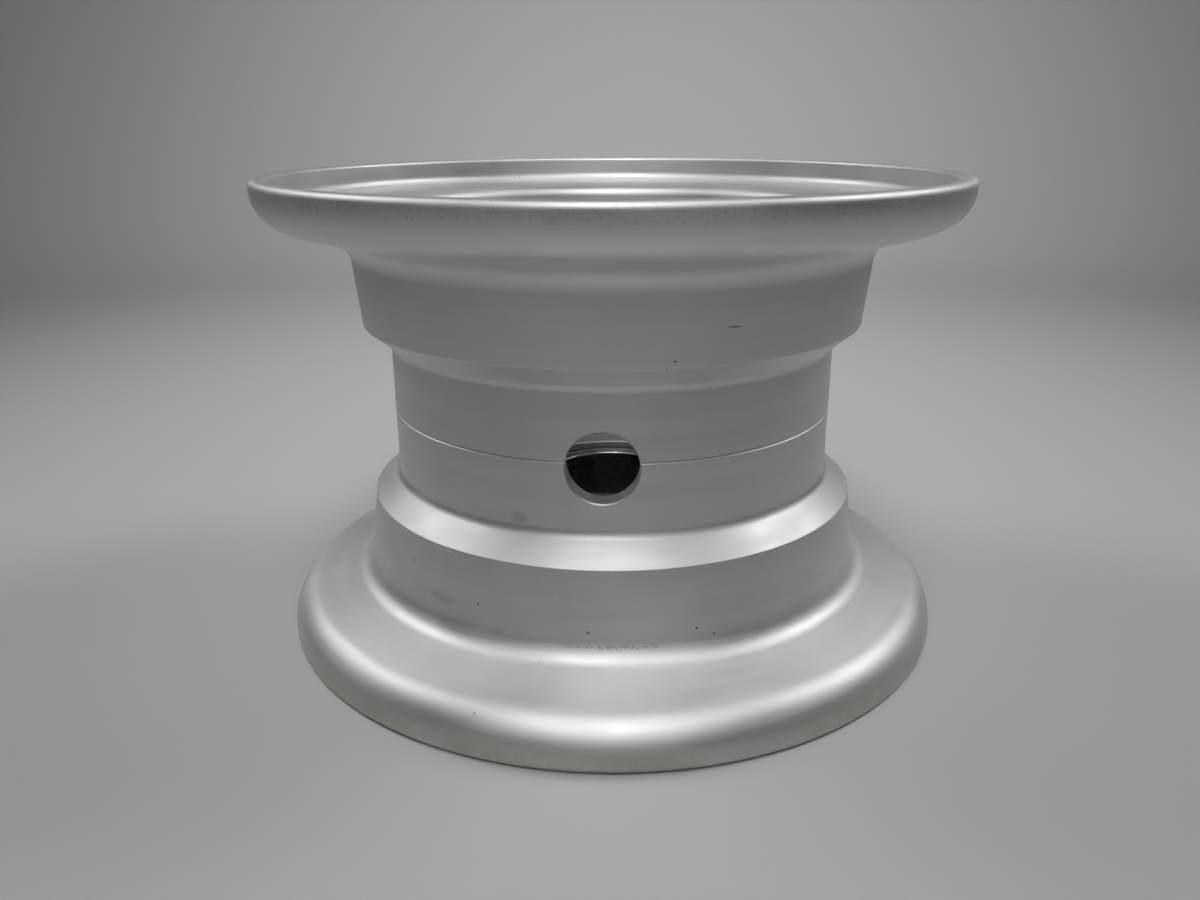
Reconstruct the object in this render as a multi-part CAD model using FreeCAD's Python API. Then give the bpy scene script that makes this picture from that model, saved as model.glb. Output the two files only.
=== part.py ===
import FreeCAD, Part
import math
import os

# Two-piece drop-centre wheel for a light aircraft's 5.00-5 tubed tyre.
# The wheel stands on its inboard flange with its axis along +Z. The origin is on the axis at the
# foot, and the joint between the two rim halves is half way up. All sizes are in millimetres.
# Both halves are drawn with z counted outwards from the joint face. The inboard half and its
# bearing are the same drawings, turned half a turn about the Y axis, so the valve hole stays at -Y.

INCH = 25.4

# Rim, tyre side
half_width = 55.6
well_radius = 55.2
well_half_width = 16.3
well_root_fillet = 3.0
bead_toe_rise = 6.3
bead_toe_run = 5.2
bead_toe_break = 0.35
bead_taper_deg = 5.9
bead_seat_width = 19.3
heel_fillet = 3.0
flange_slope_deg = 16.0
flange_radius = 84.0
flange_turn = 6.0

# Rim, lip and dish
lip_width = 3.6
lip_outer_round = 1.7
lip_inner_round = 1.1
lip_draft = 1.0
dish_depth = 6.6
dish_fall = 1.2
dish_fillet = 3.0
dish_mouth_round = 3.0
barrel_wall = 4.9
barrel_inner_round = 1.5

# Joint between the halves
inboard_joint_chamfer = 0.4
outboard_joint_chamfer = 0.15
register_width = 2.0
register_height = 1.0
register_play = 0.05
register_end_play = 0.1

# Valve hole, drilled radially through the joint
valve_hole_radius = 0.625 * INCH / 2
valve_hole_chamfer = 0.25
valve_hole_drop = 1.2

# Web, with its windows and bolt bosses
web_inner_offset = 26.0
web_thickness = 5.0
web_fillet = 2.5
window_count = 3
window_hub_margin = 3.6
window_barrel_margin = 4.0
window_sweep_deg = 64.0
bolt_count = 3
bolt_hub_margin = 8.0
boss_radius = 8.6
boss_rib_width = 9.0
pad_radius = 7.4
pad_height = 1.5

# Hub
hub_wall = 5.0
hub_end_offset = 45.0
hub_end_chamfer = 0.8
hub_nose_offset = 20.4
hub_nose_step = 2.2
hub_nose_round = 4.0
cup_shoulder_clearance = 5.5
cup_shoulder_thickness = 1.8

# Tapered roller bearing, 1.25 inch bore
axle_radius = 1.25 * INCH / 2
bearing_section = 13.494
cup_width = 10.716
bearing_width = 14.684
cone_width = 15.080
cup_mouth_wall = 1.97
cup_angle_deg = 15.0
cone_angle_deg = 11.5
roller_count = 19
roller_head_inset = 4.1
roller_length = 8.7
roller_play = 0.05
cone_rib_rise = 1.9
cone_small_rib_rise = 0.7
cone_small_rib_play = 0.15
bearing_chamfer = 0.5
cage_offset = 0.9
cage_thickness = 1.0
cage_head_margin = 1.6
cage_foot_margin = 0.3
cage_foot_width = 1.0
cage_foot_drop = 2.6
cage_pocket_play = 0.15

# Grease seal and its snap ring
seal_gap = 0.25
seal_ring_thickness = 0.9
seal_ring_clearance = 1.6
seal_rim_play = 0.1
felt_thickness = 3.2
felt_clearance = 0.2
snap_ring_thickness = 1.2
snap_ring_depth = 1.5
snap_ring_width = 3.4
snap_ring_gap_deg = 26.0
snap_ring_lug_radius = 2.6
snap_ring_lug_hole_radius = 1.0
snap_groove_play = 0.05

# Tie bolts, quarter inch
bolt_radius = 0.25 * INCH / 2
bolt_hole_play = 0.15
bolt_head_flats = 0.4375 * INCH
bolt_head_height = 4.0
bolt_tip_length = 1.5
bolt_tip_chamfer = 0.8
washer_radius = 0.5 * INCH / 2
washer_thickness = 1.6
nut_flats = 0.4375 * INCH
nut_hex_height = 4.6
nut_collar_radius = 4.9
nut_collar_height = 3.0

# Values worked out from the sizes above
TAPER = math.tan(math.radians(bead_taper_deg))
SLOPE = math.tan(math.radians(flange_slope_deg))
bead_toe_radius = well_radius + bead_toe_rise
bead_toe_offset = well_half_width + bead_toe_run
heel_radius = bead_toe_radius + TAPER * bead_seat_width
heel_offset = bead_toe_offset + bead_seat_width
barrel_radius = well_radius - barrel_wall
register_radius = barrel_radius + register_width
web_outer_offset = web_inner_offset + web_thickness
pad_offset = web_outer_offset + pad_height

cup_radius = axle_radius + bearing_section
cup_back_offset = hub_nose_offset + cup_shoulder_thickness
cup_shoulder_radius = axle_radius + cup_shoulder_clearance
hub_radius = cup_radius + hub_wall
bolt_circle_radius = hub_radius + bolt_hub_margin
cone_back_offset = cup_back_offset + bearing_width
inner_ring_offset = cone_back_offset + seal_gap
felt_offset = inner_ring_offset + seal_ring_thickness
outer_ring_offset = felt_offset + felt_thickness
snap_ring_offset = outer_ring_offset + seal_ring_thickness
snap_groove_radius = cup_radius + snap_ring_depth + seal_rim_play

roller_axis_deg = (cup_angle_deg + cone_angle_deg) / 2
roller_flare_deg = (cup_angle_deg - cone_angle_deg) / 2
cup_mouth_offset = cup_back_offset + cup_width
cup_mouth_radius = cup_radius - cup_mouth_wall
apex_offset = cup_mouth_offset - cup_mouth_radius / math.tan(math.radians(cup_angle_deg))

X_AXIS = FreeCAD.Vector(1, 0, 0)
Y_AXIS = FreeCAD.Vector(0, 1, 0)
Z_AXIS = FreeCAD.Vector(0, 0, 1)
CENTRE = FreeCAD.Vector(0, 0, 0)


def at(radius, z):
    """A point of a turned outline, in the XZ plane."""
    return FreeCAD.Vector(radius, 0, z)


def polar(radius, angle_deg, z=0):
    """A point at a radius and an angle about the wheel's axis, counted from +X."""
    angle = math.radians(angle_deg)
    return FreeCAD.Vector(radius * math.cos(angle), radius * math.sin(angle), z)


def rounded_wire(corners):
    """A closed outline through (radius, z, round) corners, with a tangent arc at each round."""
    points = [at(radius, z) for radius, z, _ in corners]
    edges = []
    starts, ends = [], []
    arcs = []
    for i, (_, _, rounding) in enumerate(corners):
        here = points[i]
        back = (points[i - 1] - here).normalize()
        ahead = (points[(i + 1) % len(points)] - here).normalize()
        if rounding <= 0:
            starts.append(here)
            ends.append(here)
            arcs.append(None)
            continue
        half = back.getAngle(ahead) / 2
        reach = rounding / math.tan(half)
        middle = (back + ahead).normalize()
        to_arc = rounding / math.sin(half) - rounding
        starts.append(here + back * reach)
        ends.append(here + ahead * reach)
        arcs.append(Part.Arc(starts[-1], here + middle * to_arc, ends[-1]).toShape())
    for i in range(len(points)):
        if arcs[i]:
            edges.append(arcs[i])
        following = (i + 1) % len(points)
        edges.append(Part.makeLine(ends[i], starts[following]))
    return Part.Wire(edges)


def turned(corners):
    """A solid of revolution about the wheel's axis from (radius, z, round) corners."""
    return Part.Face(rounded_wire(corners)).revolve(CENTRE, Z_AXIS, 360)


def ring(inner_radius, outer_radius, z, thickness):
    """A flat ring standing on z."""
    disc = Part.makeCylinder(outer_radius, thickness, at(0, z))
    return disc.cut(Part.makeCylinder(inner_radius, thickness, at(0, z)))


def around(solid, count, first_deg):
    """Copies of a solid drawn on the +X side, evenly spaced about the wheel's axis."""
    copies = []
    for i in range(count):
        copy = solid.copy()
        copy.rotate(CENTRE, Z_AXIS, first_deg + i * 360 / count)
        copies.append(copy)
    return copies


def hexagon(flats, height, centre):
    """A hexagonal prism of the given width across flats."""
    corners = [centre + polar(flats / math.sqrt(3), 60 * i) for i in range(7)]
    return Part.Face(Part.makePolygon(corners)).extrude(Z_AXIS * height)


def ledge_radius(z):
    """Radius of the tapered bead seat at a height."""
    return bead_toe_radius + TAPER * (z - bead_toe_offset)


def tyre_side():
    """Outline of a half from the joint face out over the bead seat and flange to the lip."""
    turn_z = heel_offset + SLOPE * (flange_radius - heel_radius)
    return [
        (well_radius, well_half_width, well_root_fillet),
        (bead_toe_radius, bead_toe_offset, bead_toe_break),
        (heel_radius, heel_offset, heel_fillet),
        (flange_radius, turn_z, flange_turn),
        (flange_radius, half_width, lip_outer_round),
    ]


def axle_side():
    """Outline of a half from the lip in over the dish, web and hub end to the snap ring groove."""
    lip_radius = flange_radius - lip_width
    dish_z = half_width - dish_depth
    mouth_z = dish_z - dish_fall
    return [
        (lip_radius, half_width, lip_inner_round),
        (lip_radius - lip_draft, dish_z, dish_fillet),
        (ledge_radius(mouth_z) - barrel_wall, mouth_z, dish_mouth_round),
        (ledge_radius(web_outer_offset) - barrel_wall, web_outer_offset, web_fillet),
        (hub_radius, web_outer_offset, web_fillet),
        (hub_radius, hub_end_offset, hub_end_chamfer),
        (cup_radius, hub_end_offset, hub_end_chamfer),
        (cup_radius, snap_ring_offset + snap_ring_thickness + snap_groove_play, 0),
        (snap_groove_radius, snap_ring_offset + snap_ring_thickness + snap_groove_play, 0),
        (snap_groove_radius, snap_ring_offset, 0),
        (cup_radius, snap_ring_offset, 0),
    ]


def inner_side():
    """Outline of a half from the bearing seat round the hub nose and web to the barrel's bore."""
    step_run = bead_toe_radius - well_radius
    step_rise = bead_toe_offset - well_half_width
    step_length = math.hypot(step_run, step_rise)
    step_z = well_half_width + barrel_wall * (step_length - step_rise) / step_run
    seat_radius = ledge_radius(web_inner_offset) - barrel_wall
    seat_z = step_z + (seat_radius - barrel_radius) * step_rise / step_run
    return [
        (cup_radius, cup_back_offset, 0),
        (cup_shoulder_radius, cup_back_offset, 0),
        (cup_shoulder_radius, hub_nose_offset, 0),
        (hub_radius - hub_nose_step, hub_nose_offset, hub_nose_round),
        (hub_radius, web_inner_offset, 0),
        (seat_radius, web_inner_offset, 0),
        (seat_radius, seat_z, barrel_inner_round),
        (barrel_radius, step_z, barrel_inner_round),
    ]


def joint_face(is_outboard):
    """Outline of a half's joint face, where the inboard half's register stands proud."""
    if is_outboard:
        chamfer = outboard_joint_chamfer
        register = [(barrel_radius, 0, 0)]
    else:
        chamfer = inboard_joint_chamfer
        register = [
            (barrel_radius, -register_height, 0),
            (register_radius, -register_height, 0),
            (register_radius, 0, 0),
        ]
    return register + [(well_radius - chamfer, 0, 0), (well_radius, chamfer, 0)]


def register_recess():
    """The recess turned in the outboard half and its bosses, which centres it on the register."""
    return ring(barrel_radius - register_play, register_radius + register_play, 0,
                register_height + register_end_play)


def boss():
    """One bolt boss from the joint face to the spot-faced pad, tied to the barrel by a rib."""
    centre = at(bolt_circle_radius, 0)
    post = Part.makeCylinder(boss_radius, web_inner_offset, centre)
    pad = Part.makeCylinder(pad_radius, pad_offset, centre)
    rib_reach = barrel_radius + barrel_wall / 2 - bolt_circle_radius
    rib = Part.makeBox(rib_reach, boss_rib_width, web_inner_offset,
                       centre - Y_AXIS * (boss_rib_width / 2))
    return post.fuse([pad, rib])


def web_window():
    """One kidney-shaped window of the web, drawn about +X."""
    inner = hub_radius + window_hub_margin
    outer = ledge_radius(web_inner_offset) - barrel_wall - window_barrel_margin
    reach = (outer - inner) / 2
    height = web_thickness + 2 * web_fillet
    foot = web_inner_offset - web_fillet
    sweep = window_sweep_deg / 2
    band = ring(inner, outer, foot, height)
    corners = [CENTRE, polar(2 * flange_radius, -sweep), polar(2 * flange_radius, sweep), CENTRE]
    sector = Part.Face(Part.makePolygon(corners)).extrude(Z_AXIS * half_width)
    ends = [Part.makeCylinder(reach, height, polar(inner + reach, side * sweep, foot))
            for side in (-1, 1)]
    return band.common(sector).fuse(ends)


def valve_drill():
    """The valve hole's drill, flared where it breaks the edge at the barrel's outer surface."""
    margin = 2.5 * valve_hole_radius
    centre = FreeCAD.Vector(0, 0, -valve_hole_drop)
    wall = ring(barrel_radius - barrel_wall, well_radius, centre.z - margin, 2 * margin)
    drill = Part.makeCylinder(valve_hole_radius, 2 * flange_radius, centre, -Y_AXIS)
    drilled = wall.cut(drill)
    rims = [edge for edge in drilled.Edges if is_valve_rim(edge)]
    return wall.cut(drilled.makeChamfer(valve_hole_chamfer, rims)).fuse(
        drill.common(Part.makeCylinder(barrel_radius, 2 * margin, centre - Z_AXIS * margin)))


def is_valve_rim(edge):
    """Whether an edge is where the valve hole meets the barrel's outer surface."""
    middle = edge.valueAt((edge.FirstParameter + edge.LastParameter) / 2)
    on_wall = abs(math.hypot(middle.x, middle.y) - well_radius) < 1e-3
    off_axis = math.hypot(middle.x, middle.z + valve_hole_drop)
    return on_wall and abs(off_axis - valve_hole_radius) < 1e-3


def rim_half(is_outboard):
    """One rim half, drawn with z counted outwards from the joint face."""
    corners = joint_face(is_outboard) + tyre_side() + axle_side() + inner_side()
    half = turned(corners)
    first_boss = -90 + 180 / bolt_count
    half = half.fuse(around(boss(), bolt_count, first_boss))
    if is_outboard:
        half = half.cut(register_recess())
    hole = Part.makeCylinder(bolt_radius + bolt_hole_play, half_width, at(bolt_circle_radius, 0))
    half = half.cut(around(hole, bolt_count, first_boss))
    half = half.cut(around(web_window(), window_count, -90))
    drill = valve_drill()
    if not is_outboard:
        drill.rotate(CENTRE, Y_AXIS, 180)
    return half.cut(drill)


def bearing_line(angle_deg, z):
    """Radius at a height of a line from the bearing's apex at an angle to the axis."""
    return (z - apex_offset) * math.tan(math.radians(angle_deg))


def bearing_cup():
    """The outer race, pressed into the hub against its shoulder."""
    corners = [
        (cup_radius, cup_back_offset, bearing_chamfer),
        (cup_radius, cup_mouth_offset, bearing_chamfer),
        (cup_mouth_radius, cup_mouth_offset, 0),
        (bearing_line(cup_angle_deg, cup_back_offset), cup_back_offset, 0),
    ]
    return turned(corners)


def roller_axis_point(along, offset=0):
    """The (radius, z) at a distance along the roller's axis from the apex, and off it outwards."""
    angle = math.radians(roller_axis_deg)
    radius = along * math.sin(angle) + offset * math.cos(angle)
    return radius, apex_offset + along * math.cos(angle) - offset * math.sin(angle)


def roller_span():
    """Where a roller's small and large ends lie along its axis, counted from the apex."""
    head_z = cone_back_offset - roller_head_inset
    head = (head_z - apex_offset) / math.cos(math.radians(roller_axis_deg))
    return head - roller_length, head


def bearing_cone():
    """The inner race, with its raceway between a thrust rib and a small retaining rib."""
    foot, head = roller_span()
    flare = math.tan(math.radians(roller_flare_deg))
    rib_root = roller_axis_point(head + roller_play, -(head + roller_play) * flare)
    rib_top = roller_axis_point(head + roller_play, cone_rib_rise - head * flare)
    small_rib = roller_axis_point(foot - cone_small_rib_play,
                                  -(foot - cone_small_rib_play) * flare)
    cone_front = cone_back_offset - cone_width
    corners = [
        (axle_radius, cone_front, bearing_chamfer),
        (axle_radius, cone_back_offset, bearing_chamfer),
        (rib_top[0], cone_back_offset, bearing_chamfer),
        (*rib_top, 0),
        (*rib_root, 0),
        (*small_rib, 0),
        (small_rib[0] + cone_small_rib_rise, small_rib[1], 0),
        (small_rib[0] + cone_small_rib_rise, cone_front, 0),
    ]
    return turned(corners)


def upright_to_roller(solid, along):
    """Lay a solid drawn along +Z on a roller's axis, with its foot a distance from the apex."""
    solid.rotate(CENTRE, Y_AXIS, roller_axis_deg)
    radius, z = roller_axis_point(along)
    solid.translate(at(radius, z))
    return solid


def bearing_rollers():
    """The ring of tapered rollers, each a separate solid."""
    foot, head = roller_span()
    flare = math.tan(math.radians(roller_flare_deg))
    roller = Part.makeCone(foot * flare - roller_play, head * flare - roller_play, roller_length)
    upright_to_roller(roller, foot)
    return Part.Compound(around(roller, roller_count, 0))


def bearing_cage():
    """The pressed cage: a tapered band with a pocket for each roller and a turned-in foot."""
    foot, head = roller_span()
    low = foot - cage_foot_margin
    high = head + cage_head_margin
    outer = cage_offset + cage_thickness
    flange_low = low - cage_foot_width
    corners = [
        (*roller_axis_point(flange_low, cage_offset - cage_foot_drop), 0),
        (*roller_axis_point(flange_low, outer), 0),
        (*roller_axis_point(high, outer), 0),
        (*roller_axis_point(high, cage_offset), 0),
        (*roller_axis_point(low, cage_offset), 0),
        (*roller_axis_point(low, cage_offset - cage_foot_drop), 0),
    ]
    band = turned(corners)
    head_radius = head * math.tan(math.radians(roller_flare_deg))
    width = 2 * (math.sqrt(head_radius ** 2 - cage_offset ** 2) + cage_pocket_play)
    length = roller_length + 2 * cage_pocket_play
    pocket = Part.makeBox(2 * head_radius, width, length, FreeCAD.Vector(0, -width / 2, 0))
    upright_to_roller(pocket, foot - cage_pocket_play)
    return band.cut(around(pocket, roller_count, 0))


def seal_ring(z):
    """A flat steel ring that holds the felt."""
    bore_radius = axle_radius + seal_ring_clearance
    return ring(bore_radius, cup_radius - seal_rim_play, z, seal_ring_thickness)


def felt_seal():
    """The felt ring that wipes the axle."""
    bore_radius = axle_radius + felt_clearance
    return ring(bore_radius, cup_radius - seal_rim_play, felt_offset, felt_thickness)


def snap_ring():
    """The sprung ring in the hub's groove, open at a gap with a drilled lug on each side."""
    outer = cup_radius + snap_ring_depth
    inner = outer - snap_ring_width
    body = ring(inner, outer, snap_ring_offset, snap_ring_thickness)
    reach = 2 * outer
    gap = snap_ring_gap_deg / 2
    corners = [CENTRE, polar(reach, 90 - gap), polar(reach, 90 + gap), CENTRE]
    body = body.cut(Part.Face(Part.makePolygon(corners)).extrude(Z_AXIS * half_width))
    lug_radius = cup_radius - seal_rim_play - snap_ring_lug_radius
    for side in (-1, 1):
        centre = polar(lug_radius, 90 + side * gap, snap_ring_offset)
        body = body.fuse(Part.makeCylinder(snap_ring_lug_radius, snap_ring_thickness, centre))
        body = body.cut(Part.makeCylinder(snap_ring_lug_hole_radius, snap_ring_thickness, centre))
    return body.removeSplitter()


def tie_bolt():
    """One through bolt, head outboard, drawn from the joint face both ways."""
    seat = pad_offset + washer_thickness
    tip = seat + nut_hex_height + nut_collar_height + bolt_tip_length
    centre = at(bolt_circle_radius, 0)
    shank = Part.makeCylinder(bolt_radius, seat + tip - bolt_tip_chamfer,
                              centre - Z_AXIS * (tip - bolt_tip_chamfer))
    point = Part.makeCone(bolt_radius - bolt_tip_chamfer, bolt_radius, bolt_tip_chamfer,
                          centre - Z_AXIS * tip)
    head = hexagon(bolt_head_flats, bolt_head_height, centre + Z_AXIS * seat)
    return shank.fuse([point, head]).removeSplitter()


def tie_nut():
    """One self-locking nut on the inboard side, with its collar outwards."""
    seat = -(pad_offset + washer_thickness)
    centre = at(bolt_circle_radius, seat - nut_hex_height)
    body = hexagon(nut_flats, nut_hex_height, centre)
    collar = Part.makeCylinder(nut_collar_radius, nut_collar_height,
                               centre - Z_AXIS * nut_collar_height)
    thread = Part.makeCylinder(bolt_radius, half_width, at(bolt_circle_radius, -half_width))
    return body.fuse(collar).cut(thread)


def washer(z):
    """One flat washer under a bolt head or nut."""
    outer = Part.makeCylinder(washer_radius, washer_thickness, at(bolt_circle_radius, z))
    hole = Part.makeCylinder(bolt_radius + bolt_hole_play, washer_thickness,
                             at(bolt_circle_radius, z))
    return outer.cut(hole)


def fasteners(one):
    """All the copies of one fastener, each a separate solid."""
    return Part.Compound(around(one, bolt_count, -90 + 180 / bolt_count))


def bearing_side():
    """The bearing, seal and snap ring of one side, by node name."""
    return {
        "bearing_cup": bearing_cup(),
        "bearing_cone": bearing_cone(),
        "bearing_cage": bearing_cage(),
        "bearing_rollers": bearing_rollers(),
        "inner_seal_ring": seal_ring(inner_ring_offset),
        "felt_seal": felt_seal(),
        "outer_seal_ring": seal_ring(outer_ring_offset),
        "snap_ring": snap_ring(),
    }


def wheel():
    """Every node of the wheel, with z counted from the joint face."""
    nodes = {"outboard_rim_half": rim_half(True), "inboard_rim_half": rim_half(False)}
    for name, shape in bearing_side().items():
        nodes["outboard_" + name] = shape
        nodes["inboard_" + name] = shape.copy()
    for name, shape in nodes.items():
        if name.startswith("inboard"):
            shape.rotate(CENTRE, Y_AXIS, 180)
    nodes["tie_bolts"] = fasteners(tie_bolt())
    nodes["tie_bolt_nuts"] = fasteners(tie_nut())
    nodes["head_washers"] = fasteners(washer(pad_offset))
    nodes["nut_washers"] = fasteners(washer(-pad_offset - washer_thickness))
    return nodes


os.makedirs("parts", exist_ok=True)
for node, solid in wheel().items():
    solid.translate(Z_AXIS * half_width)
    solid.exportStep(f"parts/{node}.step")
    print(f"{node}: {len(solid.Solids)} solid(s), valid {solid.isValid()}, {solid.Volume:.0f} mm3")
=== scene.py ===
# %% [markdown]
# # A split wheel for a light aircraft
# The wheel stands on its inboard flange with its axis upright. The solids come packed from the CAD
# model, and this lesson gives them their finish. It is all turned metal, so the first thing to build
# is a lathe: one way of making a round piece that leaves no facets in its reflections.

import math

import bmesh
import bpy
from mathutils import Matrix, Vector


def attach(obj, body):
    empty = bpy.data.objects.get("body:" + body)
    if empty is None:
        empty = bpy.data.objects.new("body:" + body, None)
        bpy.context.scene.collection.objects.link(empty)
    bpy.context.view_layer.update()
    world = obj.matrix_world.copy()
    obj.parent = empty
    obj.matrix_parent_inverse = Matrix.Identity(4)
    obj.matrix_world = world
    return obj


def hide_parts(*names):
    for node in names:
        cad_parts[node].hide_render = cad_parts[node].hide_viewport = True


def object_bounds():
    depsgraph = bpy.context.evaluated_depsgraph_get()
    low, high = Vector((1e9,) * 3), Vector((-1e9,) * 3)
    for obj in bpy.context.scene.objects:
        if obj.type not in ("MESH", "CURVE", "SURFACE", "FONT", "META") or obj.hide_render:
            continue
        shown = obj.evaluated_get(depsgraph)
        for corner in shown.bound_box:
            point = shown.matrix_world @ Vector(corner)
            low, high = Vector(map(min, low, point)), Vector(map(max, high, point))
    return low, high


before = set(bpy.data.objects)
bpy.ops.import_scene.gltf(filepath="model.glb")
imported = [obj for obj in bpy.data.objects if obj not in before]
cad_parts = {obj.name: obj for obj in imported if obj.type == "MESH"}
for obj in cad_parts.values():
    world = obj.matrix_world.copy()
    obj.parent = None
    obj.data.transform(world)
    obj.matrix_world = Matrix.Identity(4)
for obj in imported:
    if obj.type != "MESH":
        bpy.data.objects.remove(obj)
cad_low, cad_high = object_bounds()

# %% [markdown]
# The frame gives the overall sizes: the flange's radius, the height, and the joint between the two
# halves, which is half way up. The rim is drawn again below at the CAD sizes, in millimetres with z
# counted outwards from the joint, as a maker's drawing would give it. Only the flange's two large
# roundings, at its heel and at its edge, are fuller than in the CAD.

# %% Sizes
MM = 0.001
INCH = 25.4
HALF_WIDTH = (cad_high.z - cad_low.z) / 2 / MM
JOINT_Z = HALF_WIDTH * MM
FLANGE_RADIUS = cad_high.x / MM
SIDES = ("outboard", "inboard")
RIM_SEGMENTS, RING_SEGMENTS, FINE = 384, 192, 72

WELL_RADIUS, WELL_HALF_WIDTH, WELL_ROOT = 55.2, 16.3, 3.0
TOE_RADIUS, TOE_Z, TOE_BREAK = WELL_RADIUS + 6.3, WELL_HALF_WIDTH + 5.2, 0.35
TAPER = math.tan(math.radians(5.9))
HEEL_Z, HEEL_FILLET = TOE_Z + 19.3, 6.3
SLOPE, FLANGE_TURN = math.tan(math.radians(16.0)), 9.0
LIP_WIDTH, LIP_ROUND, LIP_INNER_ROUND, LIP_DRAFT = 3.6, 1.7, 1.1, 1.0
DISH_DEPTH, DISH_FALL, DISH_FILLET = 6.6, 1.2, 3.0
WALL, JOINT_CHAMFER = 4.9, {"outboard": 0.15, "inboard": 0.4}
BARREL_RADIUS = WELL_RADIUS - WALL
REGISTER_RADIUS, REGISTER_HEIGHT, REGISTER_BREAK = BARREL_RADIUS + 2.0, 1.0, 0.2
VALVE_RADIUS, VALVE_CHAMFER, VALVE_DROP = 0.625 * INCH / 2, 0.3, 1.2
WEB_INNER, WEB_OUTER, WEB_FILLET, CHAMBER_FILLET, PAD_Z = 26.0, 31.0, 2.5, 1.5, 32.5
WINDOW_INSET, WINDOW_MARGIN, WINDOW_SWEEP, WINDOW_EDGE = 3.6, 4.0, math.radians(32), 0.5

AXLE_RADIUS = 1.25 * INCH / 2
BEARING_WIDTH, CUP_WIDTH, CONE_WIDTH = 14.684, 10.716, 15.080
CUP_RADIUS = AXLE_RADIUS + 13.494
HUB_RADIUS, HUB_END, HUB_CHAMFER = CUP_RADIUS + 5.0, 45.0, 0.8
NOSE_Z, NOSE_STEP, NOSE_ROUND = 20.4, 2.2, 4.0
CUP_BACK, SHOULDER_RADIUS = NOSE_Z + 1.8, AXLE_RADIUS + 5.5
BOLT_CIRCLE, BOSS_RADIUS, BOSS_RIB, PAD_RADIUS = HUB_RADIUS + 8.0, 8.6, 9.0, 7.4

CONE_BACK = CUP_BACK + BEARING_WIDTH
SEAL_RADIUS, SEAL_THICK, FELT_THICK = CUP_RADIUS - 0.1, 0.9, 3.2
SEAL_Z = CONE_BACK + 0.25
FELT_Z = SEAL_Z + SEAL_THICK
COVER_Z = FELT_Z + FELT_THICK
SNAP_Z, SNAP_THICK, GROOVE_DEPTH = COVER_Z + SEAL_THICK, 1.2, 1.6

BOLT_RADIUS, BOLT_PLAY, BOLT_FLATS = 0.25 * INCH / 2, 0.15, 0.4375 * INCH
WASHER_RADIUS, WASHER_THICK = 0.5 * INCH / 2, 1.6
HEAD_HEIGHT, HEAD_WASHER, NUT_HEX, COLLAR_RADIUS, NUT_COLLAR = 4.0, 0.35, 4.6, 4.9, 3.0
BOLT_TIP, CORNER_RADIUS, NUT_BORE = 1.5, 5.15, BOLT_RADIUS + 0.02
COUNT, FIRST_BOLT, FIRST_WINDOW = 3, math.radians(-30), math.radians(-90)
print(f"flange {2 * FLANGE_RADIUS:.1f} mm across, {2 * HALF_WIDTH:.1f} mm wide")

# %% [markdown]
# ## The lathe
# A turned piece is one outline swept round the axis. Blender's Screw modifier can do that, but a
# Geometry Nodes tree says it more plainly: take a grid, read each row's radius and height from the
# outline, and turn each column by its share of a full turn. The two open edges of the grid meet and
# are merged. Every quad then lies along the surface, so reflections run round it without a break.


# %% Lathe tree
def wire(tree, source, target):
    """Joins an output socket to an input socket."""
    tree.links.new(source, target)


def node(tree, kind, **settings):
    """Adds a node and sets its properties."""
    made = tree.nodes.new(kind)
    for name, value in settings.items():
        setattr(made, name, value)
    return made


def calc(tree, kind, first, second):
    """A two-number math node, where each number is a value or another node's output."""
    made = node(tree, "ShaderNodeMath", operation=kind)
    for socket, value in zip(made.inputs, (first, second)):
        if isinstance(value, (int, float)):
            socket.default_value = value
        else:
            wire(tree, value, socket)
    return made.outputs[0]


def new_tree(name, inputs):
    """An empty geometry tree with a geometry socket each way and the named inputs."""
    tree = bpy.data.node_groups.new(name, "GeometryNodeTree")
    tree.interface.new_socket("Geometry", in_out="INPUT", socket_type="NodeSocketGeometry")
    tree.interface.new_socket("Geometry", in_out="OUTPUT", socket_type="NodeSocketGeometry")
    for label, kind in inputs.items():
        tree.interface.new_socket(label, in_out="INPUT", socket_type=kind)
    return tree, node(tree, "NodeGroupInput"), node(tree, "NodeGroupOutput")


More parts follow.
